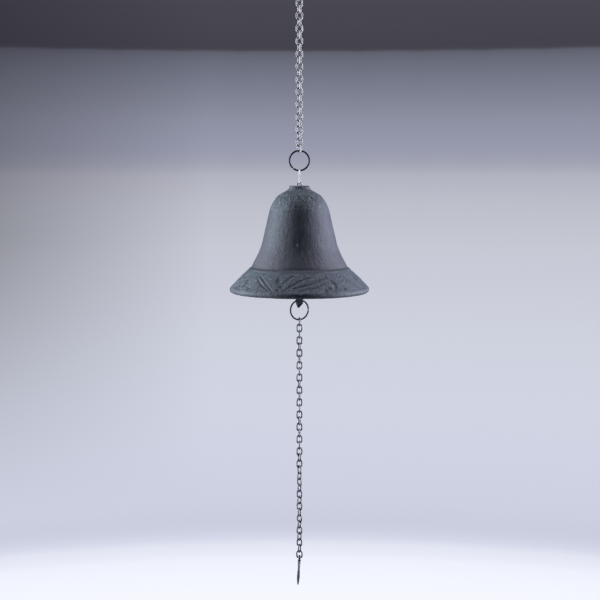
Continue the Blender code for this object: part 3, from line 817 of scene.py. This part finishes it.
def make_clapper_eye():
    """Blind nut on the end of the shank, with a wire eye under it."""
    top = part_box("clapper_eye")[1].z
    outer, wire, barrel, tall, bore = 0.0076, 0.0018, 0.0030, 0.0050, 0.0042
    bottom, floor = top - tall, top - bore
    radius = (outer - wire) / 2
    shape = Shape()
    shape.grid(moved(wire_ring(radius, wire, 56, 16), bottom - radius + wire / 4), closed_rows=True)
    profile = [(0.0001, floor), (0.0018, floor), (0.0019, floor + 0.0001),
               (0.0019, top - 0.0002), (0.0021, top), (barrel - 0.0002, top), (barrel, top - 0.0002),
               (barrel, bottom + 0.0005), (barrel - 0.0003, bottom + 0.0001),
               (barrel - 0.0009, bottom), (0.0001, bottom)]
    shape.grid(revolve(profile, 48), caps=True)
    shape.make("clapper_eye_nut", "bell", ZINC, "zinc", "clapper_eye", sharp=40)


def square_rows(rows, turn, per_side=9):
    """Rounded square rings (half side, corner radius, height), turned about Z."""
    out = []
    for half, corner, height in rows:
        ring = []
        for quarter in range(4):
            for a in np.linspace(0, math.pi / 2, per_side):
                x = half - corner + corner * math.cos(a)
                y = half - corner + corner * math.sin(a)
                c, s = math.cos(quarter * math.pi / 2), math.sin(quarter * math.pi / 2)
                ring.append((x * c - y * s, x * s + y * c, height))
        out.append(ring)
    return moved(np.array(out), 0, turn)


# The tail's half side, its hole's height from the crown, and its turn in degrees.
TAIL_HALF, TAIL_HOLE, TAIL_TURN = 0.0029, -0.1145, 26


def drill_mesh():
    """Rod with a cone at each face of the tail, for a hole with eased edges."""
    drill = bmesh.new()
    hole = Matrix.Translation((0, 0, TAIL_HOLE)) @ Matrix.Rotation(math.radians(TAIL_TURN), 4, "Z")
    bmesh.ops.create_cone(drill, cap_ends=True, segments=40, radius1=0.0017, radius2=0.0017,
                          depth=0.02, matrix=hole @ Matrix.Rotation(math.radians(90), 4, "Y"))
    for side in (1, -1):
        mouth = (hole @ Matrix.Translation((side * TAIL_HALF, 0, 0))
                 @ Matrix.Rotation(math.radians(side * 90), 4, "Y"))
        bmesh.ops.create_cone(drill, cap_ends=True, segments=40, radius1=0.0014, radius2=0.0021,
                              depth=0.0007, matrix=mouth)
    mesh = bpy.data.meshes.new("drill")
    drill.to_mesh(mesh)
    drill.free()
    return mesh


def tail_mesh():
    """Square tail of the clapper with its point, drilled across for the pull ring."""
    half, bend = TAIL_HALF, 0.0011
    rows = [(half * 0.80, 0.0014, -0.1050), (half * 0.92, 0.0008, -0.1078), (half, 0.0005, -0.1090)]
    rows += [(half, 0.00035, z) for z in np.arange(-0.1100, -0.1174, -0.0008)]
    rows += [(half * 0.995, 0.0004, -0.1176), (half * 0.94, 0.0004, -0.1181),
             (half * 0.60, 0.00035, -0.1201), (half * 0.32, 0.0003, -0.1217),
             (half * 0.16, 0.0002, -0.1224)]
    rings = square_rows(rows, TAIL_TURN)
    rings[..., 0] -= bend * np.clip((-0.1178 - rings[..., 2]) / 0.0047, 0, 1)
    body = in_scene("tail", Shape().grid(rings, caps=True).mesh("tail"))
    cutter = in_scene("drill", drill_mesh())
    step = body.modifiers.new("Drill", "BOOLEAN")
    step.operation = "DIFFERENCE"
    step.solver = "EXACT"
    step.use_self = True
    step.object = cutter
    bpy.context.view_layer.update()
    result = bpy.data.meshes.new_from_object(body.evaluated_get(bpy.context.evaluated_depsgraph_get()))
    for obj in (body, cutter):
        bpy.data.objects.remove(obj)
    return result


def make_clapper():
    """Forged clapper: eye, tapered rod, striking ball and drilled square tail."""
    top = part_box("clapper")[1].z - crown
    outer, wire, ball, ball_height = 0.0074, 0.0020, 0.0095, -0.0990
    radius = (outer - wire) / 2
    shape = Shape()
    shape.grid(moved(wire_ring(radius, wire, 52, 16), crown + top - wire / 2 - radius), closed_rows=True)
    start = top - 2 * radius - wire * 0.75
    reach = ball_height + ball - start + 0.004
    rod = [(0.0006, start + 0.0006), (0.0014, start + 0.0003), (0.0020, start - 0.0006),
           (0.0023, start - 0.0020)]
    rod += [(0.0023 + 0.0001 * t, start - 0.002 + reach * t) for t in np.linspace(0.1, 1, 12)]
    rod += [(0.0024, ball_height + ball + 0.0008)]
    rod += [(ball * math.cos(t), ball_height + ball * math.sin(t))
            for t in np.linspace(math.radians(76), math.radians(-72), 34)]
    rod += [(0.0020, ball_height - ball + 0.0004)]

    def hammered(r, height, angle):
        wave = np.sin(5 * angle + 900 * height) * np.sin(1400 * height + 2 * angle)
        crease = np.exp(-((height - ball_height) / 0.00035) ** 2)
        return r * (1 + 0.006 * wave) - 0.00012 * crease
    shape.grid(moved(revolve(rod, 72, hammered), crown), caps=True)
    obj = shape.make("clapper_forging", "clapper", FORGED, "forged_iron", "clapper")
    tail = tail_mesh()
    tail.transform(Matrix.Translation((0, 0, crown)))
    joined = bmesh.new()
    joined.from_mesh(obj.data)
    joined.from_mesh(tail)
    joined.to_mesh(obj.data)
    joined.free()
    shade(obj.data, 35)


# ---------------------------------------------------------------- leaf

LEAF_LENGTH, LEAF_WIDTH, LEAF_NECK = 0.0317, 0.0150, 0.0026
LEAF_EYE_OUTER, LEAF_HOLE, LEAF_EYE_THICKNESS = 0.0033, 0.0018, 0.0021
LEAF_LEAN = 3.2


def leaf_half_width(t):
    belly = np.sin(math.pi * np.clip(t, 0, 1) ** 0.8) ** 0.9
    return LEAF_NECK * (1 - t) + (LEAF_WIDTH / 2 - LEAF_NECK * 0.45) * belly


def leaf_half_thickness(t):
    waist = 0.0021 + 0.0009 * np.exp(-(t / 0.22) ** 2)
    belly = 0.0009 * np.exp(-((t - 0.66) / 0.22) ** 2)
    return (waist + belly) / 2 * np.sqrt(np.clip(1 - t ** 9, 0, 1))


def leaf_blade(start, length):
    """Blade with a midrib and side veins on both faces, and a notched edge."""
    spacing, groove_width, groove_depth, rib_width = 0.0038, 0.00034, 0.00034, 0.00055
    t = np.linspace(0, 1, 84) ** 0.95 * 0.985
    a = full_turn(72)
    notch = 1 - 0.055 * np.abs(np.sin(t * math.pi * 6.5)) * np.clip((t - 0.12) / 0.1, 0, 1)
    half = np.maximum(np.maximum(leaf_half_width(t), 0.0004) * notch, 0.0003)[:, None]
    thick = np.maximum(leaf_half_thickness(t), 0.0003)[:, None]
    t = t[:, None]
    y = half * np.cos(a)
    x = thick * np.sin(a) * (1 - 0.25 * np.abs(np.cos(a)) ** 3)
    z = start - length * t + 0 * a
    rib = np.exp(-(y / rib_width) ** 2) * np.clip(1 - t, 0, 1) ** 0.35
    lean = (start - z) - np.abs(y) * 0.85
    vein = np.exp(-((lean / spacing - np.round(lean / spacing)) * spacing / groove_width) ** 2)
    face = np.clip(np.abs(np.sin(a)) * 2.2 - 0.25, 0, 1)
    groove = groove_depth * vein * face * np.clip(t / 0.1, 0, 1)
    x = x * (1 - 0.10 * face * (1 - rib)) - np.sign(np.sin(a)) * groove
    return np.stack([x, y, z], -1)


def leaf_eye(height):
    """Flat eye with rounded edges, around the X axis."""
    side = [(LEAF_HOLE, 0.72), (LEAF_HOLE + 0.0002, 0.92), (LEAF_HOLE + 0.0005, 1.0),
            (LEAF_EYE_OUTER - 0.0005, 1.0), (LEAF_EYE_OUTER - 0.0002, 0.86), (LEAF_EYE_OUTER, 0.5)]
    half = LEAF_EYE_THICKNESS / 2
    profile = [(r, share * half) for r, share in side] + [(r, -share * half) for r, share in side[::-1]]
    eye = revolve(profile, 48)
    return np.stack([eye[..., 2], eye[..., 1], eye[..., 0] + height], -1)


def make_leaf():
    """Cast leaf pull, which hangs by its eye from the end link."""
    play = 0.00045
    bend = (END_LINK_WIDTH - END_LINK_WIRE) / 2
    rise = bend - math.sqrt(bend ** 2 - (LEAF_EYE_THICKNESS / 2) ** 2)
    eye = END_LINK_WIRE / 2 + rise + play - LEAF_HOLE
    start = eye - LEAF_EYE_OUTER * 0.6
    length = LEAF_LENGTH - (eye + LEAF_EYE_OUTER - start)
    pivot = [j for j in frame["joints"] if j["child"] == "leaf_pull"][0]["pos_m"][2]
    shape = Shape()
    shape.grid(moved(leaf_blade(start, length), pivot, 0, LEAF_LEAN), caps=True)
    shape.grid(moved(leaf_eye(eye), pivot, 0, LEAF_LEAN), closed_rows=True)
    shape.make("leaf_casting", "leaf_pull", DARK_ANTIQUE, "antique", "leaf_pull", sharp=60)


# ---------------------------------------------------------------- studio

AIM = Vector((0, 0, -0.28))                 # where the soft boxes point


def area_light(name, place, width, height, power, colour):
    """Soft box, out of the camera's sight."""
    light = bpy.data.lights.new(name, "AREA")
    light.shape = "RECTANGLE"
    light.size = width
    light.size_y = height
    light.energy = power
    light.color = colour
    obj = in_scene(name, light)
    obj.location = place
    obj.rotation_euler = (AIM - Vector(place)).to_track_quat("-Z", "Y").to_euler()
    obj.visible_camera = False


def make_stage():
    """Round studio: a pale floor that curves up into a wall, glowing with painted light that gets darker
    with height.
    """
    floor, far, turn = -1.50, 3.0, 0.10
    line = [(0.001, floor), (far * 0.5, floor), (far - turn, floor)]
    line += [(far - turn + turn * math.sin(a), floor + turn - turn * math.cos(a))
             for a in np.linspace(0, math.pi / 2, 10)[1:]]
    line += [(far, z) for z in np.linspace(floor + 0.2, 2.6, 24)]
    mesh = Shape().grid(revolve(line, 96)).mesh("studio")
    mesh.shade_smooth()
    look = Look("studio_painted_light")
    split = look.add("ShaderNodeSeparateXYZ")
    look.link(look.place, split.inputs["Vector"])
    flat = look.add("ShaderNodeVectorMath", operation="MULTIPLY")
    flat.inputs[1].default_value = (1, 1, 0)
    look.link(look.place, flat.inputs[0])
    reach = look.add("ShaderNodeVectorMath", operation="LENGTH")
    look.link(flat.outputs["Vector"], reach.inputs[0])
    along = look.math("ADD", split.outputs["Z"], look.math("SUBTRACT", reach.outputs["Value"], far))
    # Painted light: the glow's tones, palest on the floor, then the light's falloff up the wall and a
    # painted ceiling shade at the top.
    low, high = -2.05, 0.35
    levels = ((-2.00, 246, 247, 254), (-1.80, 244, 246, 255), (-1.60, 239, 241, 253),
              (-1.50, 226, 229, 242), (-1.467, 213, 216, 233), (-1.43, 205, 208, 225),
              (-1.40, 202, 205, 222), (-1.33, 205, 208, 225), (-1.15, 208, 211, 227),
              (-0.98, 209, 212, 227), (-0.80, 207, 211, 224), (-0.647, 204, 207, 219),
              (-0.48, 199, 201, 213), (-0.33, 189, 191, 203), (-0.235, 178, 179, 192),
              (-0.20, 163, 165, 181), (-0.151, 152, 155, 174), (-0.06, 142, 145, 163),
              (0.013, 129, 132, 148), (0.08, 117, 120, 136), (0.145, 102, 105, 119),
              (0.163, 95, 96, 110), (0.173, 68, 67, 75), (0.25, 71, 70, 80), (0.35, 74, 73, 83))
    height = look.limits(along, low, high)
    stops = [((z - low) / (high - low), linear(r, g, b)) for z, r, g, b in levels]
    colour = look.ramp(height, *stops)
    # Painted shade on the left of the back wall.
    left_wall_shade = look.limits(split.outputs["X"], -0.30, -1.05, 0.0, 0.55)
    left_wall_shade = look.math("MULTIPLY", left_wall_shade, look.limits(split.outputs["Z"], -1.35, -0.45))
    left_wall_shade = look.math("MULTIPLY", left_wall_shade, look.limits(split.outputs["Y"], 2.4, 2.75))
    colour = look.mix(left_wall_shade, colour, (0.02, 0.02, 0.03))
    glow = look.add("ShaderNodeEmission")
    look.link(colour, glow.inputs["Color"])
    output = look.tree.nodes["Material Output"]
    look.link(glow.outputs["Emission"], output.inputs["Surface"])
    look.tree.nodes.remove(look.shader)
    mesh.materials.append(look.material)
    stage = in_scene("studio_floor", mesh)
    stage.visible_diffuse = False
    stage.visible_glossy = False
    stage.visible_transmission = False
    stage.visible_shadow = False


def make_world():
    """Dim room light, a little brighter from below."""
    world = bpy.data.worlds.new("room")
    bpy.context.scene.world = world
    world.use_nodes = True
    tree = world.node_tree
    back = tree.nodes["Background"]
    place = tree.nodes.new("ShaderNodeTexCoord")
    split = tree.nodes.new("ShaderNodeSeparateXYZ")
    ramp = tree.nodes.new("ShaderNodeValToRGB")
    scale = tree.nodes.new("ShaderNodeMapRange")
    scale.inputs["From Min"].default_value = -1
    scale.inputs["From Max"].default_value = 1
    tree.links.new(place.outputs["Generated"], split.inputs["Vector"])
    tree.links.new(split.outputs["Z"], scale.inputs["Value"])
    tree.links.new(scale.outputs["Result"], ramp.inputs["Fac"])
    tree.links.new(ramp.outputs["Color"], back.inputs["Color"])
    fill_ramp(ramp.color_ramp, ((0.0, (0.09, 0.095, 0.11)), (0.45, (0.022, 0.024, 0.030)),
                                (0.60, (0.008, 0.009, 0.012)), (1.0, (0.07, 0.08, 0.09))))


def make_camera():
    camera = bpy.data.cameras.new("camera")
    camera.lens = 78
    camera.sensor_width = 36
    camera.clip_start = 0.05
    camera.clip_end = 30
    obj = in_scene("camera", camera)
    obj.location = (0.0006, -1.300, -0.1877)
    obj.rotation_euler = (math.radians(90 - 6.1), 0, 0)
    bpy.context.scene.camera = obj


# ---------------------------------------------------------------- build

for pair in range(TOP_PAIRS):
    make_pair(f"top_chain_{pair + 1:02d}", (TOP_PITCH, TOP_WIDTH, TOP_WIRE),
              (top_turn(2 * pair), top_turn(2 * pair + 1)), ZINC, "zinc")
for pair in range(PULL_PAIRS):
    make_pair(f"pull_chain_{pair + 1:02d}", (PULL_PITCH, PULL_WIDTH, PULL_WIRE),
              (pull_turn(2 * pair), pull_turn(2 * pair + 1)), ANTIQUE, "antique")
make_ring("hanging_ring", HANGING_RING_OUTER, RING_WIRE, 230, 90, GUNMETAL)
make_ring("top_ring", RING_OUTER, RING_WIRE, 230, 0, GUNMETAL)
make_ring("pull_ring", RING_OUTER, PULL_RING_WIRE, 357, 26, MATT_WIRE)
make_hook()
make_bell()
make_hanger_eye()
make_washer()
make_nut()
make_clapper_eye()
make_link("clapper_link", (0.0072, 0.0110, 0.0016), 90, ZINC, "zinc")
make_clapper()
make_link("end_link", (END_LINK_WIDTH, END_LINK_LENGTH, END_LINK_WIRE), -16, ANTIQUE, "antique")
make_leaf()

make_stage()
make_world()
make_camera()
area_light("left_softbox", (-1.25, 0.08, -0.22), 0.60, 1.5, 38, (0.92, 1.0, 1.08))
area_light("right_softbox", (1.25, 0.14, -0.22), 0.60, 1.5, 37, (0.95, 0.97, 1.12))
area_light("top_softbox", (0, 0.10, 1.10), 0.9, 0.9, 7, (0.96, 1.02, 1.04))
bpy.context.scene.view_settings.view_transform = "Standard"
